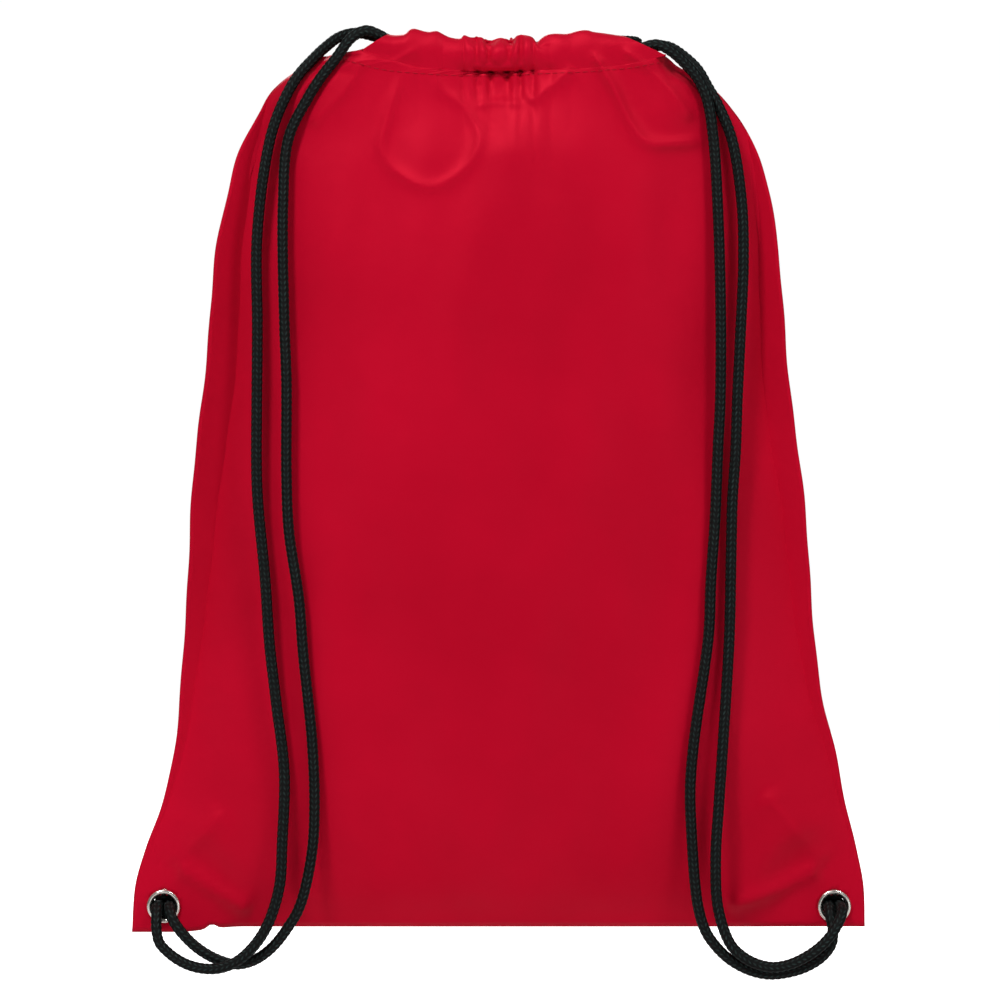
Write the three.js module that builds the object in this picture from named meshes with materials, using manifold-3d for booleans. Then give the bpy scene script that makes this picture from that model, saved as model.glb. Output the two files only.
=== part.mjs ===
// Drawstring backpack: two sewn fabric panels, a cord casing on each lip of the mouth, an eyelet in each
// lower corner and two looped cords that close the mouth and serve as shoulder straps.
// Millimetres, +Z up, the front faces -Y. The origin is the hang point in the middle of the mouth's top;
// inside the group, heights are counted from the bottom seam.
import * as THREE from 'three';
import { mergeVertices } from 'three/addons/utils/BufferGeometryUtils.js';
import Module from 'manifold-3d';

const wasm = await Module();
wasm.setup();

// ---- Driving dimensions ----
const HANG_HEIGHT = 416;
const PANEL_TOP = 401.2;
const FABRIC = 0.9;
const PANEL_GAP = 0.4;
const CROWN_POWER = 2.6;
const PANEL_COLUMNS = 16;
const PANEL_ROWS = 20;
const LEFT_EDGE = [
  [0, -170], [24, -168], [61, -156], [80, -151], [108, -147.5], [200, -142], [265, -135.5],
  [320, -130], [348, -124], [367, -118.5], [385, -107.5], [395, -100], [401.2, -89],
];
const RIGHT_EDGE = [
  [0, 169.5], [24, 168.6], [61, 160.5], [80, 156.5], [108, 149.5], [200, 141], [265, 133.5],
  [320, 128.5], [348, 124.5], [367, 117], [385, 105], [395, 93], [401.2, 82],
];
const HALF_DEPTH = [[0, 0], [30, 11], [80, 21], [160, 26], [250, 26], [330, 23], [380, 17], [401.2, 12]];

const CASING = { left: -48, right: 56, y: 12, z: 409, halfHeight: 7.25, halfDepth: 4.5, wall: 1, sides: 20 };
const SEAM = { inset: 3, width: 5, thickness: 0.6, low: 48, high: 396, rows: 14 };
const EYELET = {
  x: 155.3, z: 12, flatRadius: 22, flatFade: 40, boreRadius: 5.75, barrelRadius: 6.2, segments: 20,
};
const FLANGE = { radius: 7.8, y: 1.4, thickness: 1 };
const PANEL_HOLE_RADIUS = 6.5;
const CORD = {
  radius: 2.6, sides: 8, step: 13, gap: 0.3, bentGap: 1.2, stub: 15, stubGap: 3.5, level: 2.85, turn: 8,
};
const KNOT = { y: 10.2, radius: 6.6, squash: 0.85 };
const SEARCH_STEP = 0.25;

// Routes of the four free strands, from the casing's mouth to the knot behind the eyelet.
const LEFT_FRONT_ROUTE = [
  [-48, -12, 411.9], [-50, -12, 411.9], [-56, -12.3, 415], [-61.5, -13, 416.6], [-68, -13.6, 413.2],
  [-75, -13.6, 404],
  [-82.4, -13, 394.6], [-88.2, -12.4, 385.4], [-97, -13, 367], [-99.5, -16, 335], [-98.7, -18.7, 280],
  [-97.8, -19.8, 256], [-97.7, -21, 210], [-96.6, -21.7, 186], [-92, -23, 155], [-90, -23.2, 130],
  [-85.8, -22.8, 88], [-84.8, -22, 60], [-86, -21.5, 38], [-91.5, -19, 13.5], [-97, -18, 3.5],
  [-105, -16.5, -6.5], [-113.5, -14.5, -12.3], [-122, -12.8, -14], [-131, -12.2, -11.4], [-139, -12.2, -6.6],
  [-145, -12.4, -1], [-149, -12, 4], [-151.6, -9.6, 8.6], [-152.5, -5.4, 11.4], [-152.6, 0, 12],
  [-154, 8, 12],
];
const LEFT_BACK_ROUTE = [
  [-48, 12, 411.9], [-50, 12, 411.9], [-57, 11.3, 415.3], [-66, 8, 417], [-73.6, 3.5, 415], [-80, -1.5, 410],
  [-86.5, -6, 403.4], [-93.8, -9, 394.6], [-102.8, -10.5, 376], [-107.5, -11.5, 357], [-111.6, -13.2, 320],
  [-111.3, -15.3, 280], [-111.5, -17, 246], [-111.6, -18, 216], [-111, -18.5, 200], [-107.5, -20, 163],
  [-105.6, -21, 135], [-102.4, -21.6, 107], [-98.7, -22, 75], [-99.6, -22.2, 43], [-101, -22, 22],
  [-106.5, -21, 4.5], [-113.5, -20.5, -6], [-121, -19.8, -12.5], [-129, -18.5, -15.5], [-137, -17, -15.6],
  [-145, -15, -13.4], [-152, -13.4, -9], [-156.6, -12.8, -4], [-158, -12.2, 2], [-158.1, -9.6, 8],
  [-158.1, -5, 11.4], [-158, 0, 12], [-156.6, 8, 12],
];
const RIGHT_FRONT_ROUTE = [
  [56, -12, 406.1], [60, -12.1, 406.2], [64, -12.4, 407.2], [68.5, -13, 409.4], [73.5, -13.4, 410],
  [79, -13.2, 407.4], [85.5, -12.4, 401.8], [91.7, -11.6, 394.6], [96, -12.2, 385], [99, -13.2, 366],
  [100.7, -15.2, 339], [102.1, -17.2, 292],
  [101.9, -19, 246], [100.9, -20, 226], [99.4, -21, 191], [97.5, -22, 163], [96.4, -22.5, 138],
  [89.8, -22.6, 90], [88, -22, 68], [88.6, -21.4, 47], [91.5, -19.8, 14], [95, -18.8, 2],
  [99.6, -18, -5], [106.4, -16.6, -11.6], [115.2, -15.2, -16.5], [123.5, -14.6, -18.5], [132, -14, -18],
  [141.2, -13.4, -15.4], [149, -13, -10.6], [153.4, -12.6, -4.6], [154.1, -11.8, 1.6], [153, -9.6, 8],
  [152.8, -5, 11.4], [152.6, 0, 12], [154, 8, 12],
];
const RIGHT_BACK_ROUTE = [
  [56, 12, 406.1], [60, 12.1, 406.2], [64.5, 12, 407.4], [69, 10.4, 409.6], [74, 7.4, 411], [79, 3.8, 410.2],
  [85.4, -0.4, 405.8], [91.8, -3.8, 399.4], [96.6, -6.2, 391], [101, -7.8, 383], [107.5, -9.4, 366.8],
  [112, -11.2, 338],
  [112.8, -12.8, 311], [111.2, -15, 274], [109.8, -16.7, 246], [109, -17.7, 223], [107.5, -18.7, 200],
  [106.8, -20, 172], [106, -21, 138], [103.1, -21.8, 89], [101.2, -21.9, 61], [99.7, -21.8, 35],
  [100.9, -21.4, 12], [106.4, -21, -4], [112, -20.8, -9.8], [118.6, -20.7, -13.3], [125.7, -20.6, -14.8],
  [133, -20.2, -13.8], [141, -19.8, -10.3], [148, -19.6, -5.4], [153, -18.8, 0], [156.8, -16.6, 6],
  [158.3, -12.4, 10.2], [158.1, -6.8, 11.8], [158, 0, 12], [156.6, 8, 12],
];
// The height at which each strand leaves the panel and starts to swing.
const STRANDS = [
  { name: 'left_front_strand', route: LEFT_FRONT_ROUTE, swingTop: 256 },
  { name: 'left_back_strand', route: LEFT_BACK_ROUTE, swingTop: 200 },
  { name: 'right_front_strand', route: RIGHT_FRONT_ROUTE, swingTop: 226 },
  { name: 'right_back_strand', route: RIGHT_BACK_ROUTE, swingTop: 200 },
];

// ---- Materials ----
function finish(color, roughness, metalness = 0) {
  return new THREE.MeshStandardMaterial({ color, roughness, metalness });
}
const MATERIALS = {
  fabric: () => finish(0xc4061f, 0.5),
  cord: () => finish(0x15201f, 0.8),
  eyelet: () => finish(0xc9c4b8, 0.28, 1),
};

const bag = new THREE.Group();
bag.position.z = -HANG_HEIGHT;

function add(name, geometry, material, position = [0, 0, 0]) {
  const mesh = new THREE.Mesh(geometry, MATERIALS[material]());
  mesh.name = name;
  mesh.position.set(...position);
  bag.add(mesh);
}

// ---- Shapes ----
// A smooth value through [position, value] pairs.
function through(pairs) {
  const last = pairs.length - 1;
  const slope = (i) => {
    const [before, after] = [pairs[Math.max(i - 1, 0)], pairs[Math.min(i + 1, last)]];
    return (after[1] - before[1]) / (after[0] - before[0]);
  };
  return (t) => {
    let i = 0;
    while (i < last - 1 && t > pairs[i + 1][0]) i += 1;
    const [[t0, v0], [t1, v1]] = [pairs[i], pairs[i + 1]];
    const span = t1 - t0;
    const s = (t - t0) / span;
    const rise = s * s * (3 - 2 * s);
    return v0 + (v1 - v0) * rise + span * s * (1 - s) * ((1 - s) * slope(i) - s * slope(i + 1));
  };
}
const leftEdge = through(LEFT_EDGE);
const rightEdge = through(RIGHT_EDGE);
const crownDepth = through(HALF_DEPTH);

// Distance of a panel's inner face from the middle plane: pillowed, and flat round each eyelet.
function innerDepth(x, z) {
  const share = Math.min(Math.abs(x / (x < 0 ? leftEdge(z) : rightEdge(z))), 1);
  const fromEyelet = Math.hypot(Math.abs(x) - EYELET.x, z - EYELET.z);
  const loose = THREE.MathUtils.smoothstep(fromEyelet, EYELET.flatRadius, EYELET.flatFade);
  return PANEL_GAP / 2 + crownDepth(z) * (1 - share ** CROWN_POWER) * loose;
}

// A box with many faces, each of whose vertices is placed by shape(u, w, v), with u, w and v from 0 to 1.
function warpedBox(columns, rows, shape) {
  const geometry = new THREE.BoxGeometry(1, 1, 1, columns, 1, rows);
  const vertices = geometry.attributes.position;
  for (let i = 0; i < vertices.count; i += 1) {
    vertices.setXYZ(i, ...shape(vertices.getX(i) + 0.5, vertices.getY(i) + 0.5, vertices.getZ(i) + 0.5));
  }
  return geometry;
}

function toManifold(geometry) {
  const bare = geometry.clone();
  bare.deleteAttribute('normal');
  bare.deleteAttribute('uv');
  const merged = mergeVertices(bare);
  const triVerts = new Uint32Array(merged.index.array);
  const vertProperties = new Float32Array(merged.attributes.position.array);
  return new wasm.Manifold(new wasm.Mesh({ numProp: 3, vertProperties, triVerts }));
}

function toGeometry(solid) {
  const mesh = solid.getMesh();
  const geometry = new THREE.BufferGeometry();
  geometry.setAttribute('position', new THREE.BufferAttribute(new Float32Array(mesh.vertProperties), 3));
  geometry.setIndex(new THREE.BufferAttribute(new Uint32Array(mesh.triVerts), 1));
  return geometry;
}

// ---- Fabric ----
function panel(side) {
  const sheet = warpedBox(PANEL_COLUMNS, PANEL_ROWS, (u, w, v) => {
    const z = PANEL_TOP * (0.5 - 0.5 * Math.cos(Math.PI * v));
    const x = THREE.MathUtils.lerp(leftEdge(z), rightEdge(z), u);
    const outward = side < 0 ? 1 - w : w;
    return [x, side * (innerDepth(x, z) + FABRIC * outward), z];
  });
  const holes = [-1, 1].map((end) => {
    const drill = new THREE.CylinderGeometry(PANEL_HOLE_RADIUS, PANEL_HOLE_RADIUS, 20, EYELET.segments);
    return toManifold(drill.translate(end * EYELET.x, 0, EYELET.z));
  });
  return toGeometry(holes.reduce((solid, hole) => solid.subtract(hole), toManifold(sheet)));
}

// The hem on one lip of the mouth: a flat tube, open at both ends, that the cords run in.
function casing() {
  const ring = (trim) => Array.from({ length: CASING.sides }, (_, i) => {
    const angle = (2 * Math.PI * i) / CASING.sides;
    const [halfDepth, halfHeight] = [CASING.halfDepth - trim, CASING.halfHeight - trim];
    return new THREE.Vector2(halfDepth * Math.cos(angle), halfHeight * Math.sin(angle));
  });
  const section = new THREE.Shape(ring(0));
  section.holes.push(new THREE.Path(ring(CASING.wall)));
  const tube = new THREE.ExtrudeGeometry(section, { depth: CASING.right - CASING.left, bevelEnabled: false });
  const [alongY, alongZ, alongX] = [[0, 1, 0], [0, 0, 1], [1, 0, 0]].map((v) => new THREE.Vector3(...v));
  return tube.applyMatrix4(new THREE.Matrix4().makeBasis(alongY, alongZ, alongX));
}

// Seam allowances are turned to the inside, between the panels.
function sideSeam(edge, inward) {
  return warpedBox(1, SEAM.rows, (u, w, v) => {
    const z = THREE.MathUtils.lerp(SEAM.low, SEAM.high, v);
    const across = inward > 0 ? u : 1 - u;
    return [edge(z) + inward * (SEAM.inset + SEAM.width * across), SEAM.thickness * (w - 0.5), z];
  });
}

function bottomSeam() {
  const length = 2 * (EYELET.x - EYELET.flatFade);
  const allowance = new THREE.BoxGeometry(length, SEAM.thickness, SEAM.width);
  return allowance.translate(0, 0, SEAM.inset + SEAM.width / 2);
}

// ---- Eyelets ----
const lathe = (profile) => {
  const points = [...profile, profile[0]].map(([radius, y]) => new THREE.Vector2(radius, y));
  return new THREE.LatheGeometry(points, EYELET.segments);
};

// Front half: a domed flange and a barrel, rolled outward behind the washer.
function eyelet() {
  const { boreRadius: bore, barrelRadius: barrel } = EYELET;
  const front = -FLANGE.y - FLANGE.thickness;
  return lathe([
    [bore, front + 0.5], [bore + 0.5, front], [FLANGE.radius - 0.7, front], [FLANGE.radius, front + 0.5],
    [FLANGE.radius, -FLANGE.y], [barrel, -FLANGE.y], [barrel, 2.5], [7.2, 2.5], [7.2, 3.1], [bore, 3.1],
  ]);
}

const washer = () => lathe([[6.5, FLANGE.y], [FLANGE.radius, FLANGE.y], [FLANGE.radius, 2.2], [6.5, 2.2]]);

// ---- Cords ----
function cordTube(curve) {
  const circle = Array.from({ length: CORD.sides }, (_, i) => {
    const angle = (2 * Math.PI * i) / CORD.sides;
    return new THREE.Vector2(CORD.radius * Math.cos(angle), CORD.radius * Math.sin(angle));
  });
  const steps = Math.max(2, Math.round(curve.getLength() / CORD.step));
  const along = { steps, extrudePath: curve, bevelEnabled: false };
  return new THREE.ExtrudeGeometry(new THREE.Shape(circle), along);
}

function routeCurve(points) {
  return new THREE.CatmullRomCurve3(points.map((p) => new THREE.Vector3(...p)), false, 'centripetal');
}

// The part of a curve between two lengths along it.
function stretch(curve, from, to) {
  const total = curve.getLength();
  const count = Math.ceil((to - from) / (CORD.step / 2));
  const at = (i) => curve.getPointAt(Math.min((from + ((to - from) * i) / count) / total, 1));
  return new THREE.CatmullRomCurve3(Array.from({ length: count + 1 }, (_, i) => at(i)), false, 'centripetal');
}

// The length along a strand at which it first comes down to a height.
function lengthAtHeight(curve, height) {
  const samples = Math.round(curve.getLength() / SEARCH_STEP);
  let i = 1;
  while (i < samples && curve.getPointAt(i / samples).z > height) i += 1;
  return (curve.getLength() * i) / samples;
}

// A cord runs up one lip's casing, turns back at the far side and leaves by the other lip's casing.
function casingLoop(side, level) {
  const [near, far] = side < 0 ? [CASING.left, CASING.right] : [CASING.right, CASING.left];
  const start = near - side * CORD.gap;
  const turn = (angle) => [far - side * CORD.turn * Math.sin(angle), -CASING.y * Math.cos(angle), level];
  const bend = Array.from({ length: 9 }, (_, i) => turn((Math.PI * i) / 8));
  const run = [0.12, 0.34, 0.56, 0.78].map((share) => THREE.MathUtils.lerp(start, far, share));
  const out = run.map((x) => [x, -CASING.y, level]);
  const back = run.toReversed().map((x) => [x, CASING.y, level]);
  const ends = [-1, 1].map((lip) => [start, lip * CASING.y, level]);
  return cordTube(routeCurve([ends[0], ...out, ...bend, ...back, ends[1]]));
}

function knot(end, strands) {
  const ball = new THREE.SphereGeometry(KNOT.radius, 12, 8).scale(1, KNOT.squash, 1);
  const heart = toManifold(ball.translate(end * EYELET.x, KNOT.y, EYELET.z));
  return toGeometry(strands.reduce((solid, tail) => solid.add(toManifold(tail)), heart));
}

// ---- Assembly ----
[['front', -1], ['back', 1]].forEach(([name, side]) => {
  add(`${name}_panel`, panel(side), 'fabric');
  add(`${name}_casing`, casing(), 'fabric', [CASING.left, side * CASING.y, CASING.z]);
});
add('left_side_seam', sideSeam(leftEdge, 1), 'fabric');
add('right_side_seam', sideSeam(rightEdge, -1), 'fabric');
add('bottom_seam', bottomSeam(), 'fabric');

[['left', -1, CASING.z + CORD.level], ['right', 1, CASING.z - CORD.level]].forEach(([name, side, level]) => {
  add(`${name}_eyelet`, eyelet(), 'eyelet', [side * EYELET.x, 0, EYELET.z]);
  add(`${name}_eyelet_washer`, washer(), 'eyelet', [side * EYELET.x, 0, EYELET.z]);
  add(`${name}_cord_casing_loop`, casingLoop(side, level), 'cord');

  const tails = STRANDS.filter((strand) => strand.name.startsWith(name)).map((strand) => {
    const curve = routeCurve(strand.route);
    const total = curve.getLength();
    const top = lengthAtHeight(curve, strand.swingTop);
    const foot = total - CORD.stub;
    add(`${strand.name}_upper`, cordTube(stretch(curve, CORD.bentGap, top)), 'cord');
    add(`${strand.name}_lower`, cordTube(stretch(curve, top + CORD.bentGap, foot - CORD.stubGap)), 'cord');
    return cordTube(stretch(curve, foot, total));
  });
  add(`${name}_cord_knot`, knot(side, tails), 'cord');
});

export default bag;
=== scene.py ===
"""Drawstring backpack: the looks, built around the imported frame.

Metres, +Z up, the front faces -Y. Shapes are worked out with heights that count up from the bottom
seam, and new_object() lowers them into the frame.
"""

import math

import bpy
import numpy as np
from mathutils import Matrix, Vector


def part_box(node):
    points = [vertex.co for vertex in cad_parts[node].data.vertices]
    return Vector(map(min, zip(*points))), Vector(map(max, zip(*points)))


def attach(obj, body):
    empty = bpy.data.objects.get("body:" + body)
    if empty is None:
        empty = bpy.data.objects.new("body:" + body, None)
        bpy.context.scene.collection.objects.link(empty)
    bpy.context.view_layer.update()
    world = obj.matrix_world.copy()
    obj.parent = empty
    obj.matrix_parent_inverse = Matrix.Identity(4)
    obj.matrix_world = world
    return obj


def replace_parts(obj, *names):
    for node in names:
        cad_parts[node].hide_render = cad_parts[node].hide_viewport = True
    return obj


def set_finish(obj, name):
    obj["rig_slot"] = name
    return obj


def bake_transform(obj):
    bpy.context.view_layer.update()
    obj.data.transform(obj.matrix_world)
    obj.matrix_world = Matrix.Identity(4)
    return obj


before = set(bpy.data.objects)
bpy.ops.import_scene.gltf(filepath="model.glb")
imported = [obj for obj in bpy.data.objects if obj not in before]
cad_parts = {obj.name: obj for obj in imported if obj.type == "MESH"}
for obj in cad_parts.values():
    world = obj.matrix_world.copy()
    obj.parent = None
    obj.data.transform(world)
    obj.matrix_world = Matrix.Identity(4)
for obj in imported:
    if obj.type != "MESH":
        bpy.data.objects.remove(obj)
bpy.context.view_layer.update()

# ---- Places and sizes, from the frame ----
PANEL_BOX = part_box("front_panel")
CASING_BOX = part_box("front_casing")
BASE = PANEL_BOX[0].z
PANEL_TOP = PANEL_BOX[1].z - BASE
STITCH_HEIGHT = PANEL_TOP - 0.0027
CASING_LEFT, CASING_RIGHT = CASING_BOX[0].x, CASING_BOX[1].x
CASING_DEPTH = -(CASING_BOX[0].y + CASING_BOX[1].y) / 2
CORD_RADIUS = 0.0026

# ---- Cord routes, from each casing's mouth to the knot behind the eyelet ----
LEFT_FRONT_ROUTE = [
    (-0.0480, -0.0120, 0.4119), (-0.0500, -0.0120, 0.4119), (-0.0560, -0.0123, 0.4150),
    (-0.0615, -0.0130, 0.4166), (-0.0680, -0.0136, 0.4132), (-0.0750, -0.0136, 0.4040),
    (-0.0824, -0.0130, 0.3946), (-0.0882, -0.0124, 0.3854), (-0.0970, -0.0130, 0.3670),
    (-0.0995, -0.0160, 0.3350), (-0.0987, -0.0187, 0.2800), (-0.0978, -0.0198, 0.2560),
    (-0.0977, -0.0210, 0.2100), (-0.0966, -0.0217, 0.1860), (-0.0920, -0.0230, 0.1550),
    (-0.0900, -0.0232, 0.1300), (-0.0858, -0.0228, 0.0880), (-0.0848, -0.0220, 0.0600),
    (-0.0860, -0.0215, 0.0380), (-0.0915, -0.0190, 0.0135), (-0.0970, -0.0180, 0.0035),
    (-0.1050, -0.0165, -0.0065), (-0.1135, -0.0145, -0.0123), (-0.1220, -0.0128, -0.0140),
    (-0.1310, -0.0122, -0.0114), (-0.1390, -0.0122, -0.0066), (-0.1450, -0.0124, -0.0010),
    (-0.1490, -0.0120, 0.0040), (-0.1516, -0.0096, 0.0086), (-0.1525, -0.0054, 0.0114),
    (-0.1526, 0.0000, 0.0120), (-0.1540, 0.0080, 0.0120),
]
LEFT_BACK_ROUTE = [
    (-0.0480, 0.0120, 0.4119), (-0.0500, 0.0120, 0.4119), (-0.0570, 0.0113, 0.4153),
    (-0.0660, 0.0080, 0.4170), (-0.0736, 0.0035, 0.4150), (-0.0800, -0.0015, 0.4100),
    (-0.0865, -0.0060, 0.4034), (-0.0938, -0.0090, 0.3946), (-0.1028, -0.0105, 0.3760),
    (-0.1075, -0.0115, 0.3570), (-0.1116, -0.0132, 0.3200), (-0.1113, -0.0153, 0.2800),
    (-0.1115, -0.0170, 0.2460), (-0.1116, -0.0180, 0.2160), (-0.1110, -0.0185, 0.2000),
    (-0.1075, -0.0200, 0.1630), (-0.1056, -0.0210, 0.1350), (-0.1024, -0.0216, 0.1070),
    (-0.0987, -0.0220, 0.0750), (-0.0996, -0.0222, 0.0430), (-0.1010, -0.0220, 0.0220),
    (-0.1065, -0.0210, 0.0045), (-0.1135, -0.0205, -0.0060), (-0.1210, -0.0198, -0.0125),
    (-0.1290, -0.0185, -0.0155), (-0.1370, -0.0170, -0.0156), (-0.1450, -0.0150, -0.0134),
    (-0.1520, -0.0134, -0.0090), (-0.1566, -0.0128, -0.0040), (-0.1580, -0.0122, 0.0020),
    (-0.1581, -0.0096, 0.0080), (-0.1581, -0.0050, 0.0114), (-0.1580, 0.0000, 0.0120),
    (-0.1566, 0.0080, 0.0120),
]
RIGHT_FRONT_ROUTE = [
    (0.0560, -0.0120, 0.4061), (0.0600, -0.0121, 0.4062), (0.0640, -0.0124, 0.4072),
    (0.0685, -0.0130, 0.4094), (0.0735, -0.0134, 0.4100), (0.0790, -0.0132, 0.4074),
    (0.0855, -0.0124, 0.4018), (0.0917, -0.0116, 0.3946), (0.0960, -0.0122, 0.3850),
    (0.0990, -0.0132, 0.3660), (0.1007, -0.0152, 0.3390), (0.1021, -0.0172, 0.2920),
    (0.1019, -0.0190, 0.2460), (0.1009, -0.0200, 0.2260), (0.0994, -0.0210, 0.1910),
    (0.0975, -0.0220, 0.1630), (0.0964, -0.0225, 0.1380), (0.0898, -0.0226, 0.0900),
    (0.0880, -0.0220, 0.0680), (0.0886, -0.0214, 0.0470), (0.0915, -0.0198, 0.0140),
    (0.0950, -0.0188, 0.0020), (0.0996, -0.0180, -0.0050), (0.1064, -0.0166, -0.0116),
    (0.1152, -0.0152, -0.0165), (0.1235, -0.0146, -0.0185), (0.1320, -0.0140, -0.0180),
    (0.1412, -0.0134, -0.0154), (0.1490, -0.0130, -0.0106), (0.1534, -0.0126, -0.0046),
    (0.1541, -0.0118, 0.0016), (0.1530, -0.0096, 0.0080), (0.1528, -0.0050, 0.0114),
    (0.1526, 0.0000, 0.0120), (0.1540, 0.0080, 0.0120),
]
RIGHT_BACK_ROUTE = [
    (0.0560, 0.0120, 0.4061), (0.0600, 0.0121, 0.4062), (0.0645, 0.0120, 0.4074),
    (0.0690, 0.0104, 0.4096), (0.0740, 0.0074, 0.4110), (0.0790, 0.0038, 0.4102),
    (0.0854, -0.0004, 0.4058), (0.0918, -0.0038, 0.3994), (0.0966, -0.0062, 0.3910),
    (0.1010, -0.0078, 0.3830), (0.1075, -0.0094, 0.3668), (0.1120, -0.0112, 0.3380),
    (0.1128, -0.0128, 0.3110), (0.1112, -0.0150, 0.2740), (0.1098, -0.0167, 0.2460),
    (0.1090, -0.0177, 0.2230), (0.1075, -0.0187, 0.2000), (0.1068, -0.0200, 0.1720),
    (0.1060, -0.0210, 0.1380), (0.1031, -0.0218, 0.0890), (0.1012, -0.0219, 0.0610),
    (0.0997, -0.0218, 0.0350), (0.1009, -0.0214, 0.0120), (0.1064, -0.0210, -0.0040),
    (0.1120, -0.0208, -0.0098), (0.1186, -0.0207, -0.0133), (0.1257, -0.0206, -0.0148),
    (0.1330, -0.0202, -0.0138), (0.1410, -0.0198, -0.0103), (0.1480, -0.0196, -0.0054),
    (0.1530, -0.0188, 0.0000), (0.1568, -0.0166, 0.0060), (0.1583, -0.0124, 0.0102),
    (0.1581, -0.0068, 0.0118), (0.1580, 0.0000, 0.0120), (0.1566, 0.0080, 0.0120),
]


# ---- Camera ----
def make_camera():
    """Looks straight at the front, from far enough away that the outline is nearly flat."""
    distance, view_width = 3.0, 0.4632
    camera = bpy.data.objects.new("camera", bpy.data.cameras.new("camera"))
    camera.data.sensor_width = 36
    camera.data.lens = camera.data.sensor_width * distance / view_width
    camera.location = (0.0005, -distance, BASE + 0.2001)
    camera.rotation_euler = (math.radians(90), 0, 0)
    bpy.context.scene.collection.objects.link(camera)
    bpy.context.scene.camera = camera


make_camera()


# ---- Small tools ----
def smoothstep(value, low, high):
    share = np.clip((value - low) / (high - low), 0, 1)
    return share * share * (3 - 2 * share)


def bump(value, middle, width):
    """A smooth hump of height 1."""
    return np.exp(-(((value - middle) / width) ** 2))


def through(knots, values):
    """A smooth function through the values at the knots, which rise."""
    knots, values = np.array(knots, float), np.array(values, float)
    slopes = np.gradient(values, knots)

    def at(t):
        i = np.clip(np.searchsorted(knots, t) - 1, 0, len(knots) - 2)
        span = knots[i + 1] - knots[i]
        s = np.clip((t - knots[i]) / span, 0, 1)
        rise = s * s * (3 - 2 * s)
        bend = s * (1 - s) * ((1 - s) * slopes[i] - s * slopes[i + 1])
        return values[i] + (values[i + 1] - values[i]) * rise + span * bend

    return at


def unit(vectors):
    return vectors / np.maximum(np.linalg.norm(vectors, axis=-1, keepdims=True), 1e-12)


def new_object(name, points, faces, material, slot):
    """A smooth shaded mesh, lowered from seam heights into the frame."""
    placed = np.array(points, float).reshape(-1, 3) + (0, 0, BASE)
    mesh = bpy.data.meshes.new(name)
    mesh.from_pydata(placed.tolist(), [], [list(map(int, face)) for face in faces])
    mesh.polygons.foreach_set("use_smooth", [True] * len(mesh.polygons))
    mesh.materials.append(material)
    mesh.update()
    made = bpy.data.objects.new(name, mesh)
    bpy.context.scene.collection.objects.link(made)
    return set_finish(made, slot)


def grid_faces(rows, columns, wrap=False):
    """Quads over points kept row by row; wrap joins the last column to the first."""
    r, c = np.meshgrid(np.arange(rows - 1), np.arange(columns if wrap else columns - 1), indexing="ij")
    after = (c + 1) % columns
    corners = [r * columns + c, r * columns + after, (r + 1) * columns + after, (r + 1) * columns + c]
    return np.stack(corners, -1).reshape(-1, 4)


def grid_normals(grid, wrap=False):
    """Unit normals of a grid of points, on the side that grid_faces() faces."""
    if wrap:
        across = np.roll(grid, -1, 1) - np.roll(grid, 1, 1)
    else:
        across = np.gradient(grid, axis=1)
    return unit(np.cross(across, np.gradient(grid, axis=0)))


def refine(grid):
    """Twice as many rows and columns, on a smooth surface through the same points."""
    for axis in (0, 1):
        g = np.moveaxis(grid, axis, 0)
        padded = np.concatenate([2 * g[:1] - g[1:2], g, 2 * g[-1:] - g[-2:-1]])
        middle = (9 * (padded[1:-2] + padded[2:-1]) - padded[:-3] - padded[3:]) / 16
        finer = np.empty((2 * len(g) - 1, *g.shape[1:]))
        finer[::2], finer[1::2] = g, middle
        grid = np.moveaxis(finer, 0, axis)
    return grid


# ---- Materials ----
def material(name, **sockets):
    made = bpy.data.materials.new(name)
    made.use_nodes = True
    shader = made.node_tree.nodes["Principled BSDF"]
    for socket, value in sockets.items():
        shader.inputs[socket.replace("_", " ")].default_value = value
    return made, made.node_tree, shader


def node(tree, kind, inputs=(), **settings):
    """Adds a node; inputs are (socket, value or the socket that feeds it)."""
    made = tree.nodes.new(kind)
    for key, value in settings.items():
        setattr(made, key, value)
    for socket, value in inputs:
        if isinstance(value, bpy.types.NodeSocket):
            tree.links.new(value, made.inputs[socket])
        else:
            made.inputs[socket].default_value = value
    return made


def object_coordinates(tree):
    return node(tree, "ShaderNodeTexCoord").outputs["Object"]


def noise(tree, scale, detail, place, roughness=0.5):
    inputs = [("Vector", place), ("Scale", scale), ("Detail", detail), ("Roughness", roughness)]
    return node(tree, "ShaderNodeTexNoise", inputs).outputs["Fac"]


def remap(tree, value, low, high, to_low, to_high):
    inputs = [("Value", value), ("From Min", low), ("From Max", high)]
    inputs += [("To Min", to_low), ("To Max", to_high)]
    return node(tree, "ShaderNodeMapRange", inputs).outputs["Result"]


def mixed_colour(tree, share, first, second):
    mix = node(tree, "ShaderNodeMix", data_type="RGBA")
    tree.links.new(share, mix.inputs["Factor"])
    mix.inputs[6].default_value = (*first, 1)
    mix.inputs[7].default_value = (*second, 1)
    return mix.outputs[2]


def bumped(tree, height, distance, strength=1.0, under=None):
    inputs = [("Height", height), ("Distance", distance), ("Strength", strength)]
    if under is not None:
        inputs.append(("Normal", under))
    return node(tree, "ShaderNodeBump", inputs).outputs["Normal"]


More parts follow.
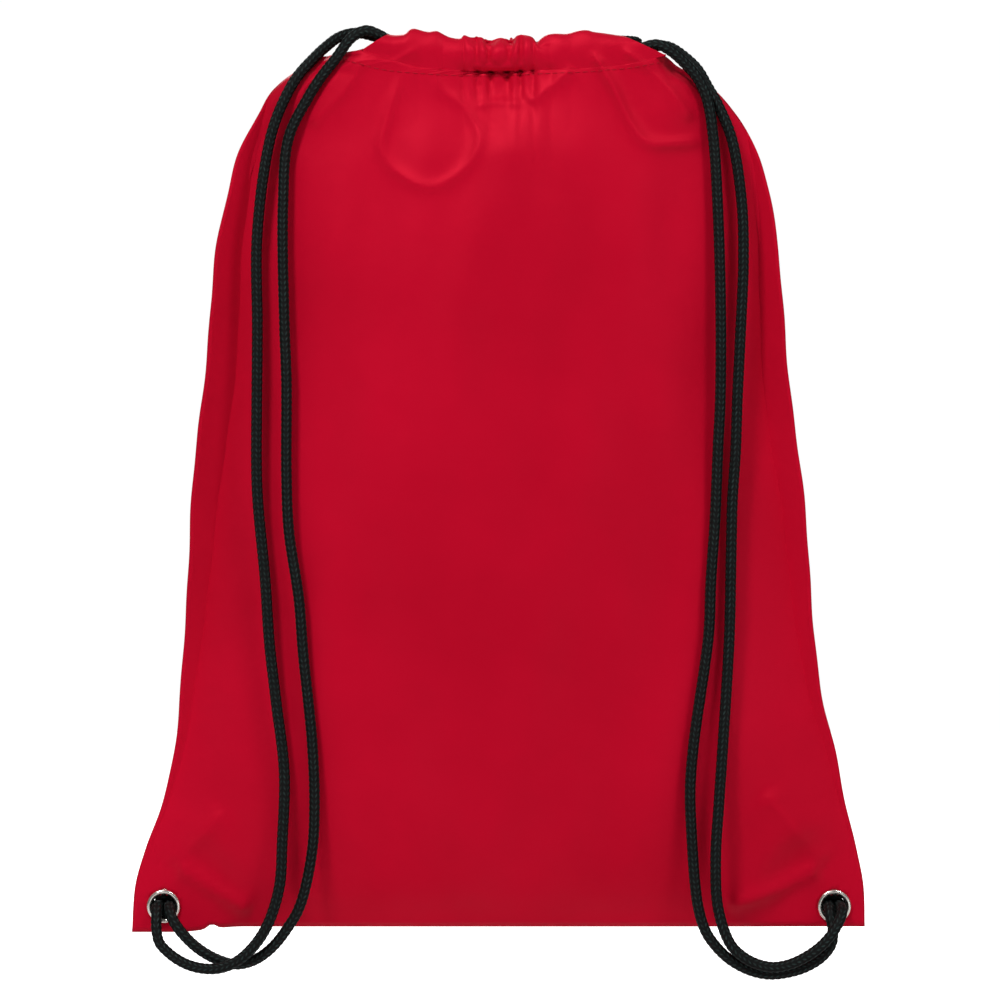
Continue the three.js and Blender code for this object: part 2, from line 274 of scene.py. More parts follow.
def fabric_material():
    """Light red polyester: a plain weave, faint crumples and a satin gleam of its own colour."""
    made, tree, shader = material(
        "red_polyester",
        Specular_IOR_Level=0.9,
        Specular_Tint=(1.0, 0.03, 0.07, 1),
        Sheen_Weight=0.12,
        Sheen_Roughness=0.4,
        Sheen_Tint=(1.0, 0.05, 0.08, 1),
    )
    place = object_coordinates(tree)
    tone = noise(tree, 9, 3, place)
    share = remap(tree, tone, 0.35, 0.65, 0, 1)
    colour = mixed_colour(tree, share, (0.54, 0.0024, 0.021), (0.63, 0.003, 0.026))
    tree.links.new(colour, shader.inputs["Base Color"])
    gloss = remap(tree, noise(tree, 60, 3, place), 0.3, 0.7, 0.34, 0.44)
    tree.links.new(gloss, shader.inputs["Roughness"])
    crumple = bumped(tree, noise(tree, 38, 4, place, 0.45), 0.0016, 0.35)
    weft = node(tree, "ShaderNodeTexWave", [("Vector", place), ("Scale", 700)], bands_direction="X")
    warp = node(tree, "ShaderNodeTexWave", [("Vector", place), ("Scale", 700)], bands_direction="Z")
    threads = node(tree, "ShaderNodeMath", operation="MULTIPLY")
    tree.links.new(weft.outputs["Fac"], threads.inputs[0])
    tree.links.new(warp.outputs["Fac"], threads.inputs[1])
    weave = bumped(tree, threads.outputs[0], 0.00006, 0.6, crumple)
    tree.links.new(weave, shader.inputs["Normal"])
    return made


def cord_material():
    """Braided cord, green-black, with painted shade between its plaits and painted highlights on their crests
    and on fine filament glints.
    """
    made, tree, shader = material("green_black_cord", Specular_IOR_Level=0.22)
    place = object_coordinates(tree)
    # The plait heights drive the colour: painted shade in the braid's valleys, painted highlight on its
    # crests, painted glints on the filaments, over a dark green-black.
    plait = node(tree, "ShaderNodeAttribute", attribute_name="plait").outputs["Fac"]
    painted_filament_glints = remap(tree, noise(tree, 700, 2, place), 0.35, 0.65, 0.35, 1)
    painted_crest_light = remap(tree, plait, 0.6, 1, 0, 1)
    share = node(tree, "ShaderNodeMath", [(0, painted_crest_light), (1, painted_filament_glints)], operation="MULTIPLY").outputs[0]
    colour = mixed_colour(tree, share, (0.0004, 0.001, 0.001), (0.026, 0.054, 0.050))
    tree.links.new(colour, shader.inputs["Base Color"])
    tree.links.new(remap(tree, share, 0, 1, 0.7, 0.42), shader.inputs["Roughness"])
    tree.links.new(bumped(tree, noise(tree, 2600, 2, place), 0.0002, 0.5), shader.inputs["Normal"])
    return made


def nickel_material():
    """Bright nickel plate with faint handling marks."""
    made, tree, shader = material("nickel", Metallic=1.0)
    place = object_coordinates(tree)
    share = remap(tree, noise(tree, 240, 4, place), 0.3, 0.7, 0, 1)
    colour = mixed_colour(tree, share, (0.82, 0.79, 0.72), (0.93, 0.91, 0.85))
    tree.links.new(colour, shader.inputs["Base Color"])
    tree.links.new(remap(tree, share, 0, 1, 0.16, 0.3), shader.inputs["Roughness"])
    tree.links.new(bumped(tree, noise(tree, 500, 3, place), 0.0001, 0.25), shader.inputs["Normal"])
    return made


def thread_material():
    """Red sewing thread with a faint twist."""
    made, tree, shader = material("red_thread", Roughness=0.6, Specular_IOR_Level=0.2)
    place = object_coordinates(tree)
    twist = noise(tree, 3000, 1, place)
    colour = mixed_colour(tree, twist, (0.46, 0.0022, 0.018), (0.6, 0.003, 0.026))
    tree.links.new(colour, shader.inputs["Base Color"])
    tree.links.new(bumped(tree, twist, 0.0001, 0.5), shader.inputs["Normal"])
    return made


FABRIC, CORD, NICKEL, THREAD = fabric_material(), cord_material(), nickel_material(), thread_material()


# ---- Cords ----
RING_STEP = 0.0005
END_ROUNDING = 0.0016
CORD_SIDES = 32
BRAID_COLUMNS = 8
BRAID_PITCH = 0.0026
BRAID_RELIEF = 0.00042


def even_path(fine, step):
    """Points about a step apart along a fine line."""
    gaps = np.linalg.norm(np.diff(fine, axis=0), axis=1)
    along = np.concatenate([[0], np.cumsum(gaps)])
    places = np.linspace(0, along[-1], int(along[-1] / step) + 1)
    return np.stack([np.interp(places, along, fine[:, k]) for k in range(3)], 1)


def curve_through(points, step=RING_STEP):
    """A centripetal Catmull-Rom curve, sampled evenly."""
    p = np.array(points, float)
    p = np.vstack([2 * p[0] - p[1], p, 2 * p[-1] - p[-2]])
    fine = []
    for a, b, c, d in zip(p, p[1:], p[2:], p[3:]):
        gaps = [np.linalg.norm(end - start) ** 0.5 for start, end in ((a, b), (b, c), (c, d))]
        t0, t1, t2, t3 = np.cumsum([0, *gaps])
        t = np.linspace(t1, t2, 40, endpoint=False)[:, None]
        ab = ((t1 - t) * a + (t - t0) * b) / (t1 - t0)
        bc = ((t2 - t) * b + (t - t1) * c) / (t2 - t1)
        cd = ((t3 - t) * c + (t - t2) * d) / (t3 - t2)
        abc = ((t2 - t) * ab + (t - t0) * bc) / (t2 - t0)
        bcd = ((t3 - t) * bc + (t - t1) * cd) / (t3 - t1)
        fine.append(((t2 - t) * abc + (t - t1) * bcd) / (t2 - t1))
    fine.append(p[-2][None, :])
    return even_path(np.vstack(fine), step)


def length_of(path):
    return float(np.linalg.norm(np.diff(path, axis=0), axis=1).sum())


def braid(along, turns):
    """Height, from 0 to 1, of plaits that lean one way and the other in columns round the cord."""
    column = turns * BRAID_COLUMNS
    across = column % 1
    lean = np.where(np.floor(column) % 2 == 0, 0.45, -0.45)
    plait = along / BRAID_PITCH + lean * (2 * across - 1)
    return np.abs(np.sin(np.pi * plait)) ** 0.7 * np.sin(np.pi * np.clip(across, 0, 1)) ** 0.45


def across_path(path, closed):
    """Two unit vectors across a path at each point, which turn as little as they can."""
    steps = np.roll(path, -1, 0) - np.roll(path, 1, 0) if closed else np.gradient(path, axis=0)
    tangents = unit(steps)
    side = np.cross(tangents[0], (0.3, 0.2, 1.0))
    sides = []
    for tangent in tangents:
        side = unit(side - tangent * (side @ tangent))
        sides.append(side)
    sides = np.array(sides)
    others = np.cross(tangents, sides)
    if closed:
        first = sides[0] - tangents[-1] * (sides[0] @ tangents[-1])
        turn = math.atan2(first @ others[-1], first @ sides[-1])
        angle = np.linspace(0, turn, len(path))[:, None]
        sides, others = (
            sides * np.cos(angle) + others * np.sin(angle),
            others * np.cos(angle) - sides * np.sin(angle),
        )
    return sides, others


def cord_mesh(name, path, closed=False):
    """A braided cord along an even path, with rounded, melted ends unless it is closed."""
    count = len(path)
    step = length_of(path) / (count - 1)
    along = np.arange(count) * step
    turns = np.arange(CORD_SIDES) / CORD_SIDES
    heights = braid(along[:, None], turns[None, :])
    radii = CORD_RADIUS - BRAID_RELIEF * (1 - heights)
    if not closed:
        from_end = np.minimum(along, along[-1] - along)[:, None]
        radii = radii * np.sqrt(np.clip(1 - (1 - np.clip(from_end / END_ROUNDING, 0, 1)) ** 2, 0.03, 1))
    sides, others = across_path(path, closed)
    angle = 2 * np.pi * turns
    rings = (
        path[:, None, :]
        + radii[..., None] * np.cos(angle)[None, :, None] * sides[:, None, :]
        + radii[..., None] * np.sin(angle)[None, :, None] * others[:, None, :]
    )
    faces = [list(face) for face in grid_faces(count, CORD_SIDES, wrap=True)]
    last = (count - 1) * CORD_SIDES
    if closed:
        faces += [[last + i, last + (i + 1) % CORD_SIDES, (i + 1) % CORD_SIDES, i] for i in range(CORD_SIDES)]
    else:
        faces += [list(range(CORD_SIDES))[::-1], list(range(last, last + CORD_SIDES))]
    made = new_object(name, rings, faces, CORD, "cord")
    # The plait heights also go to the material, which paints shade in the braid's valleys and highlights on
    # its crests.
    tone = made.data.attributes.new("plait", "FLOAT", "POINT")
    tone.data.foreach_set("value", heights.ravel().astype(np.float32))
    return made


def let_swing(strand):
    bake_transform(strand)


def knot_path(centre, way):
    """An overhand knot, closed through the cord's two entries."""
    spread, depth = 0.0026, 0.0029
    t = np.linspace(0, 2 * np.pi, 800, endpoint=False)
    x = spread * (np.sin(t) + 2 * np.sin(2 * t))
    z = spread * (np.cos(t) - 2 * np.cos(2 * t))
    fine = np.stack([centre[0] + way * x, centre[1] - depth * np.sin(3 * t), centre[2] + z], 1)
    return even_path(np.vstack([fine, fine[:1]]), RING_STEP)[:-1]


KNOT_DEPTH = 0.0094
# The tails' points: out towards the middle of the bag, depth, and height above the knot.
KNOT_TAILS = [
    [(0, 0.0100, -0.004), (0.006, 0.0142, -0.007), (0.016, 0.0150, -0.0065)],
    [(0, 0.0100, 0.004), (0.005, 0.0145, 0.009), (0.010, 0.0155, 0.018)],
]


def make_knot(side, way):
    """The knot behind the eyelet with its two short cut tails."""
    low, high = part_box(f"{side}_eyelet")
    x, z = (low.x + high.x) / 2, (low.z + high.z) / 2 - BASE
    knot = cord_mesh(f"{side}_knot", knot_path((x, KNOT_DEPTH, z), way), closed=True)
    tails = [[(x - way * inward, depth, z + up) for inward, depth, up in tail] for tail in KNOT_TAILS]
    pieces = [knot] + [cord_mesh(f"{side}_tail_{i + 1}", curve_through(tail)) for i, tail in enumerate(tails)]
    for piece in pieces:
        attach(piece, "bag")
    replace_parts(knot, f"{side}_cord_knot")
    return pieces


TURN_REACH = 0.008
CORD_DIP, DIP_MIDDLE, DIP_REACH = 0.0046, -0.001, 0.027


def cord_dip(x):
    """How far the cords sink inside the casings where the mouth is drawn tightest."""
    return CORD_DIP * bump(x, DIP_MIDDLE, DIP_REACH)


def make_casing_loop(side, far_x, near_x, level):
    """The part of a cord inside the casings, with its turn beyond their far end."""
    way = 1 if far_x > near_x else -1
    angle = np.linspace(0, np.pi, 60)
    out, depth = way * TURN_REACH * np.sin(angle), -CASING_DEPTH * np.cos(angle)
    turn = np.stack([far_x + out, depth, 0 * angle + level], 1)
    ends = [[(near_x, -CASING_DEPTH, level)], [(near_x, CASING_DEPTH, level)]]
    path = even_path(np.vstack([ends[0], turn, ends[1]]), RING_STEP)
    path[:, 2] -= cord_dip(path[:, 0])
    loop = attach(cord_mesh(f"{side}_cord_in_casing", path), "bag")
    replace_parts(loop, f"{side}_cord_casing_loop")


STRANDS = [
    ("left", "front", LEFT_FRONT_ROUTE),
    ("left", "back", LEFT_BACK_ROUTE),
    ("right", "front", RIGHT_FRONT_ROUTE),
    ("right", "back", RIGHT_BACK_ROUTE),
]
LEVELS = {"left": LEFT_FRONT_ROUTE[0][2], "right": RIGHT_FRONT_ROUTE[0][2]}


def make_cords():
    make_casing_loop("left", CASING_RIGHT, CASING_LEFT, LEVELS["left"])
    make_casing_loop("right", CASING_LEFT, CASING_RIGHT, LEVELS["right"])
    on_cord = {"left": make_knot("left", -1), "right": make_knot("right", 1)}
    paths = []
    for side, lip, route in STRANDS:
        path = curve_through(route)
        strand = cord_mesh(f"{side}_{lip}_strand", path)
        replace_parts(strand, f"{side}_{lip}_strand_upper", f"{side}_{lip}_strand_lower")
        let_swing(strand)
        paths.append(path)
    return paths


CORD_PATHS = make_cords()


# ---- Outline of the pocket, from the frame ----
# The outline goes on above the CAD panel, up to the lower end of each casing's slanting rim. Each rim
# runs from its shoulder tip, at the stitch line, to its rim top, at the crest.
SHOULDER_TIPS = {"left": (-0.0630, 0.4076), "right": (0.0770, 0.4050)}
SHOULDERS = {"left": [(0.4050, -0.0825), (0.4066, -0.0745)], "right": [(0.4033, 0.0795)]}
RIM_TOPS = {"left": (-0.0515, 0.4150), "right": (0.0575, 0.4142)}
EYELET_CLEARANCE = 0.0075


def outline_rows(side, way):
    """Heights, outermost x and depth of the CAD pocket at its rows of faces, on one side."""
    points = np.array([v.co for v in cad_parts["front_panel"].data.vertices])
    points[:, 2] -= BASE
    low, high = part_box(f"{side}_eyelet")
    hole = np.hypot(points[:, 0] - (low.x + high.x) / 2, points[:, 2] - (low.z + high.z) / 2 + BASE)
    points = points[(hole > EYELET_CLEARANCE) & (way * points[:, 0] > 0)]
    near = np.abs(points[:, None, 2] - points[None, :, 2]) < 0.001
    out = way * points[:, 0]
    furthest = np.where(near, out[None, :], -1).max(1)
    deepest = np.where(near, -points[None, :, 1], -1).max(1)
    rows = {round(points[i, 2], 4): (out[i] * way, deepest[i]) for i in np.flatnonzero(out > furthest - 1e-5)}
    heights = sorted(rows)
    return heights, [rows[h][0] for h in heights], [rows[h][1] for h in heights]


def side_waves(height, way):
    """The slight unevenness of a sewn side seam."""
    waves = 0.00035 * np.sin(height * 61 + 2 * way) + 0.0002 * np.sin(height * 157 + way)
    return waves * smoothstep(height, 0.02, 0.06) * (1 - smoothstep(height, 0.37, 0.39))


def edge_function(side, way):
    heights, edge, _ = outline_rows(side, way)
    tip_x, tip_height = SHOULDER_TIPS[side]
    crest = [*SHOULDERS[side], (tip_height, tip_x)]
    edge = through(heights + [h for h, _ in crest], edge + [x for _, x in crest])
    return lambda height: edge(height) + side_waves(height, way)


LEFT_EDGE, RIGHT_EDGE = edge_function("left", -1), edge_function("right", 1)
ROW_HEIGHTS, _, ROW_DEPTHS = outline_rows("left", -1)
DEPTH = through(ROW_HEIGHTS, ROW_DEPTHS)
EYELETS = []
for eyelet_side in ("left", "right"):
    eyelet_low, eyelet_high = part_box(f"{eyelet_side}_eyelet")
    EYELETS.append(((eyelet_low.x + eyelet_high.x) / 2, (eyelet_low.z + eyelet_high.z) / 2 - BASE))


# The side seams end below the mouth, so there each panel's edge stands away from the middle plane.
LEFT_OPENING = through(
    [0.0, 0.392, 0.3990, 0.4028, 0.4050, 0.4066, 0.4076], [0.0, 0.0, 0.0010, 0.0026, 0.0050, 0.0095, 0.0148]
)
RIGHT_OPENING = through(
    [0.0, 0.374, 0.388, 0.395, 0.4012, 0.4050], [0.0, 0.0, 0.0018, 0.0045, 0.0090, 0.0140]
)


# ---- Gathers ----
GATHER_MIDDLE = 0.0015
TIGHT_REACH, PLEATED_REACH, PINCHED_REACH = 0.017, 0.0175, 0.021
FINE_PLEAT, WIDE_PLEAT = 0.0068, 0.0125
PLEAT_COUNT = 40


def gather_phase():
    """Counts pleats along the stitch line: fine ones in the middle, wider ones towards the ends."""
    x = np.linspace(CASING_LEFT - 0.02, CASING_RIGHT + 0.02, 1200)
    wide = smoothstep(np.abs(x - GATHER_MIDDLE), 0.014, 0.034)
    pitch = FINE_PLEAT + (WIDE_PLEAT - FINE_PLEAT) * wide
    pitch *= 1 + 0.22 * np.sin(x * 310 + 1.2) + 0.12 * np.sin(x * 547)
    phase = np.cumsum((x[1] - x[0]) / pitch)
    return lambda at: np.interp(at, x, phase)


PHASE = gather_phase()


def fold_reach(x, way):
    """How far below the stitch line each pleat still shows, which differs from one to the next."""
    reaches = np.random.default_rng(5 + way).uniform(0.008, 0.050, PLEAT_COUNT)
    reach = np.interp(PHASE(x), np.arange(PLEAT_COUNT), reaches)
    return reach * (0.3 + 0.4 * smoothstep(np.abs(x - GATHER_MIDDLE), 0, 0.03))


# Waves of fabric that hangs loose: half height, length across, length up (slanting) and phase.
RUMPLE_WAVES = [
    (0.0011, 0.125, 0.42, 0.9),
    (0.0009, 0.083, -0.27, 2.1),
    (0.0006, 0.047, 0.20, 4.0),
    (0.0004, 0.034, -0.15, 1.3),
]


def rumple(x, height, way):
    """Broad, shallow waves of fabric that hangs loose."""
    shift = way * 0.06
    total = 0
    for size, across, up, start in RUMPLE_WAVES:
        total = total + size * np.sin(2 * np.pi * (x / across + (height + shift) / up) + start)
    return total * smoothstep(height, 0, 0.05)


STITCH_KNOTS = [
    SHOULDER_TIPS["left"],
    (-0.053, 0.4042),
    (-0.040, 0.4004),
    (-0.024, STITCH_HEIGHT),
    (0.024, STITCH_HEIGHT),
    (0.044, 0.3994),
    (0.062, 0.4014),
    SHOULDER_TIPS["right"],
]
STITCH_LINE = through(*zip(*STITCH_KNOTS))


def stitch_depth(x):
    """How far from the middle plane the stitch line runs: nearer where the mouth is drawn tightest."""
    return CASING_DEPTH + 0.0036 - 0.0060 * bump(x, GATHER_MIDDLE, TIGHT_REACH)


def pleats(x, shift=0.0):
    """From -1 in a sharp valley to 1 on a round ridge."""
    return 2 * np.abs(np.cos(np.pi * (PHASE(x) + shift))) ** 0.75 - 1


def pleat_size(x):
    """Half the depth of the pleats: deepest in the middle of the mouth."""
    return 0.0001 + 0.0021 * bump(x, GATHER_MIDDLE, PLEATED_REACH)


# ---- The pocket ----
SIM_COLUMNS, SIM_ROWS = 41, 47
REFINEMENTS = 2
SEAM_GAP = 0.0004
CROWN_POWER = 2.6
BOTTOM_LIFT = 0.0026
NOTCH_MIDDLE, NOTCH_HEIGHT, NOTCH_REACH = -0.1330, 0.0022, 0.0026
FLAT_NEAR_EYELET = (0.020, 0.042)
FABRIC_THICKNESS = 0.0005
HOLE_RADIUS = 0.0066


def pocket_grid(way, finer=0, pleated=True):
    """One panel of the pocket as sewn, before the fabric settles: way is -1 in front and 1 behind."""
    columns, rows = [(count - 1) * 2**finer + 1 for count in (SIM_COLUMNS, SIM_ROWS)]
    u = np.linspace(0, 1, columns)[None, :]
    share_up = (1 - (1 - np.linspace(0, 1, rows)) ** 1.3)[:, None]
    (left_x, left_top), (right_x, right_top) = SHOULDER_TIPS["left"], SHOULDER_TIPS["right"]
    at_top = left_x + (right_x - left_x) * u
    height = STITCH_LINE(at_top) * share_up
    left, right = LEFT_EDGE(left_top * share_up), RIGHT_EDGE(right_top * share_up)
    x = left + (right - left) * u
    share = np.abs(np.where(x < 0, x / left, x / right))
    from_eyelet = np.minimum(*[np.hypot(x - ex, height - ez) for ex, ez in EYELETS])
    loose = smoothstep(from_eyelet, *FLAT_NEAR_EYELET)
    edge = SEAM_GAP + np.where(x < 0, LEFT_OPENING(left_top * share_up), RIGHT_OPENING(right_top * share_up))
    fullness = SEAM_GAP + DEPTH(np.minimum(height, STITCH_HEIGHT)) * loose
    crown = edge + (fullness - edge) * (1 - share**CROWN_POWER)
    drop = np.maximum(STITCH_LINE(x) - height, 0)
    fade = np.exp(-((drop / fold_reach(x, way)) ** 1.4))
    folds = pleated * pleat_size(x) * pleats(x, 0.3 * (way + 1)) * fade
    gathered = smoothstep(share_up, 0.90, 1.0)
    at_sides = share**8 * (1 - smoothstep(share_up, 0.985, 1.0))
    depth = crown + (stitch_depth(x) - crown) * gathered * (1 - at_sides) + folds
    depth = depth + rumple(x, height, way) * (1 - share**4) * (1 - gathered) * loose * pleated
    lift = BOTTOM_LIFT * smoothstep(x, -0.150, -0.118) + NOTCH_HEIGHT * bump(x, NOTCH_MIDDLE, NOTCH_REACH)
    lift = lift * (1 - smoothstep(height, 0, 0.02))
    return np.stack([x + 0 * depth, way * depth, height + lift + 0 * depth], -1)


def cut_width(height):
    """How much wider the cloth is cut than the pocket stands, by height."""
    return np.interp(height, [0.2, 0.32, 0.367, 0.39, 0.4012], [1.01, 1.02, 1.04, 1.06, 1.1])


def settle(front, back, frames=30, most=0.014):
    """How a cloth simulation moves both panels, held at their seams, the stitch line and the eyelets."""
    both = np.stack([front, back])
    flat = both.reshape(-1, 3)
    faces = grid_faces(SIM_ROWS, SIM_COLUMNS)
    faces = np.vstack([faces, faces[:, ::-1] + SIM_ROWS * SIM_COLUMNS])
    mesh = bpy.data.meshes.new("settling")
    mesh.from_pydata(flat.tolist(), [], faces.tolist())
    cloth_object = bpy.data.objects.new("settling", mesh)
    bpy.context.scene.collection.objects.link(cloth_object)

    held = np.zeros(both.shape[:3])
    held[:, 0, :] = held[:, -1, :] = held[:, :, 0] = held[:, :, -1] = 1
    from_eyelet = np.minimum(*[np.hypot(both[..., 0] - ex, both[..., 2] - ez) for ex, ez in EYELETS])
    held = np.maximum(held, 1 - smoothstep(from_eyelet, 0.010, 0.018)).reshape(-1)
    pins = cloth_object.vertex_groups.new(name="held")
    for index in np.flatnonzero(held > 0):
        pins.add([int(index)], float(held[index]), "REPLACE")

    cloth_object.shape_key_add(name="as_sewn")
    cut = cloth_object.shape_key_add(name="cut")
    wide = flat.copy()
    wide[:, 0] *= cut_width(wide[:, 2])
    cut.data.foreach_set("co", wide.ravel())
    cut.value = 0

    cloth = cloth_object.modifiers.new("Cloth", "CLOTH")
    settings = cloth.settings
    settings.quality = 8
    settings.mass = 0.05
    settings.air_damping = 2
    settings.tension_stiffness = settings.compression_stiffness = 12
    settings.shear_stiffness = 4
    settings.bending_stiffness = 1
    settings.tension_damping = settings.compression_damping = settings.shear_damping = 8
    settings.vertex_group_mass = "held"
    settings.rest_shape_key = cut
    settings.use_pressure = True
    settings.uniform_pressure_force = 8
    settings.effector_weights.gravity = 0
    cloth.collision_settings.use_collision = False
    cloth.point_cache.frame_start, cloth.point_cache.frame_end = 1, frames

    scene = bpy.context.scene
    for number in range(1, frames + 1):
        scene.frame_set(number)
    evaluated = cloth_object.evaluated_get(bpy.context.evaluated_depsgraph_get())
    moved = np.empty(len(flat) * 3)
    evaluated.data.vertices.foreach_get("co", moved)
    scene.frame_set(1)
    bpy.data.objects.remove(cloth_object)
    bpy.data.meshes.remove(mesh)

    shift = moved.reshape(-1, 3) - flat
    size = np.linalg.norm(shift, axis=1, keepdims=True)
    shift *= most * np.tanh(size / most) / np.maximum(size, 1e-9)
    return shift.reshape(both.shape)


# Creases of each panel: the line that each follows (x, height), how far it stands out and its width.
FRONT_CREASES = [
    ([(-0.028, 0.406), (-0.0265, 0.390), (-0.015, 0.380), (-0.009, 0.368), (-0.013, 0.356), (-0.030, 0.344),
      (-0.047, 0.351), (-0.054, 0.362), (-0.051, 0.377), (-0.044, 0.400)], 0.0017, 0.0034),
    ([(-0.013, 0.3815), (0.0, 0.3835), (0.0125, 0.3825)], 0.0012, 0.003),
    ([(0.0125, 0.383), (0.023, 0.390), (0.035, 0.400)], 0.0017, 0.004),
    ([(0.042, 0.409), (0.052, 0.391), (0.067, 0.3655), (0.082, 0.3645), (0.097, 0.367)], 0.0030, 0.0042),
    ([(-0.060, 0.405), (-0.072, 0.388), (-0.088, 0.372)], 0.0016, 0.004),
    ([(-0.060, 0.403), (-0.050, 0.402), (-0.036, 0.409)], 0.0011, 0.003),
    ([(0.056, 0.409), (0.075, 0.393), (0.090, 0.374)], 0.0018, 0.004),
    ([(-0.150, 0.031), (-0.140, 0.0255), (-0.128, 0.0175), (-0.114, 0.0095)], 0.0032, 0.0055),
    ([(-0.152, 0.030), (-0.140, 0.043), (-0.126, 0.056)], 0.0020, 0.007),
    ([(0.150, 0.031), (0.139, 0.0255), (0.124, 0.0180), (0.104, 0.0120)], 0.0034, 0.0055),
    ([(0.152, 0.030), (0.138, 0.047), (0.122, 0.066)], 0.0024, 0.008),
]
BACK_CREASES = [
    ([(0.030, 0.404), (0.026, 0.386), (0.012, 0.366), (0.016, 0.348), (0.040, 0.340)], 0.0016, 0.0045),
    ([(-0.040, 0.404), (-0.052, 0.388), (-0.070, 0.368), (-0.092, 0.362)], 0.0018, 0.005),
    ([(0.048, 0.404), (0.066, 0.384), (0.088, 0.372)], 0.0014, 0.005),
    ([(-0.146, 0.018), (-0.130, 0.013), (-0.112, 0.009)], 0.0030, 0.005),
    ([(0.150, 0.026), (0.132, 0.040), (0.112, 0.050)], 0.0022, 0.008),
]

# Broad swellings of both panels: middle (x, height), how far each stands out, and its reach across and up.
SWELLINGS = [
    ((-0.031, 0.366), 0.0016, (0.016, 0.020)),
    ((0.080, 0.379), 0.0030, (0.013, 0.013)),
    ((0.045, 0.330), 0.0016, (0.030, 0.040)),
    ((-0.045, 0.290), 0.0014, (0.030, 0.050)),
]


CREST_ROUNDING = 0.0006


def line_distance(x, height, points):
    """Distance from a polyline, and the share of the way along it of the nearest place."""
    points = np.array(points)
    gaps = np.linalg.norm(np.diff(points, axis=0), axis=1)
    starts = np.concatenate([[0], np.cumsum(gaps)])
    nearest, share = np.full(x.shape, 9.0), np.zeros(x.shape)
    for i, gap in enumerate(gaps):
        (ax, az), (bx, bz) = points[i], points[i + 1]
        t = np.clip(((x - ax) * (bx - ax) + (height - az) * (bz - az)) / gap**2, 0, 1)
        distance = np.hypot(x - ax - t * (bx - ax), height - az - t * (bz - az))
        closer = distance < nearest
        nearest = np.where(closer, distance, nearest)
        share = np.where(closer, (starts[i] + t * gap) / starts[-1], share)
    return nearest, share


def smooth_line(points):
    """A curve through a crease's points, in the plane."""
    return curve_through([(x, 0, z) for x, z in points], 0.0012)[:, [0, 2]]


def crease(grid, way, creases):
    """Raises or sinks the creases, each fading towards its ends."""
    x, height = grid[..., 0], grid[..., 2]
    lift = np.zeros(x.shape)
    for points, size, width in creases:
        distance, share = line_distance(x, height, smooth_line(points))
        fade = smoothstep(share, 0, 0.12) * smoothstep(1 - share, 0, 0.12)
        crest = np.exp(-np.hypot(distance, CREST_ROUNDING) / (0.55 * width))
        foot = 1 / (1 + (distance / width) ** 2) ** 1.5
        lift += size * fade * (0.75 * crest + 0.45 * foot)
    for (middle_x, middle_z), size, (across, up) in SWELLINGS:
        lift += size * bump(x, middle_x, across) * bump(height, middle_z, up)
    from_seam = np.minimum.reduce([x - LEFT_EDGE(height), RIGHT_EDGE(height) - x, height])
    from_eyelet = np.minimum(*[np.hypot(x - ex, height - ez) for ex, ez in EYELETS])
    held = smoothstep(from_seam, 0, 0.008) * smoothstep(from_eyelet, EYELET_CLEARANCE, 0.014)
    grid[..., 1] += way * lift * held
    return grid


PRESS_SOFTNESS = 0.0012


def press_behind_cords(grid, paths, clearance=0.0004, reach=0.022):
    """Keeps the front panel behind the cords that lie on it."""
    x, height = grid[..., 0], grid[..., 2]
    left_rim, right_rim = SHOULDER_TIPS["left"][0] - 0.008, SHOULDER_TIPS["right"][0] + 0.007
    for path in paths:
        past_rim = (path[:, 0] < left_rim) | (path[:, 0] > right_rim)
        seen = path[(path[:, 2] > 0.004) & past_rim]
        seen = seen[seen[:, 1] < -0.001][::6]
        for i in range(0, len(seen) - 1, 8):
            part = seen[i : i + 10]
            close = (
                (np.abs(x - part[:, 0].mean()) < reach + np.ptp(part[:, 0]))
                & (height > part[:, 2].min() - 0.002)
                & (height < part[:, 2].max() + 0.002)
            )
            if not close.any():
                continue
            away = np.hypot(x[close][:, None] - part[None, :, 0], height[close][:, None] - part[None, :, 2])
            nearest = away.argmin(1)
            distance = away.min(1)
            slope = 0.45 + 1.1 * smoothstep(height[close], 0.365, 0.395)
            limit = part[nearest, 1] + CORD_RADIUS + clearance - slope * np.maximum(distance - CORD_RADIUS, 0)
            depth = grid[..., 1][close]
            over = limit - depth
            soft = (over + PRESS_SOFTNESS) ** 2 / (4 * PRESS_SOFTNESS)
            push = np.where(over > -PRESS_SOFTNESS, soft, 0)
            push = np.where(over > PRESS_SOFTNESS, over, push)
            push *= 1 - smoothstep(distance, 0.6 * reach, reach)
            grid[..., 1][close] = depth + push
    return grid


def rim_faces(skin, count):
    """Quads that join the open edges of a skin to those of its inner copy, count points later."""
    edges = {(int(a), int(b)) for face in skin for a, b in zip(face, np.roll(face, -1))}
    return [[b, a, a + count, b + count] for a, b in sorted(edges) if (b, a) not in edges]


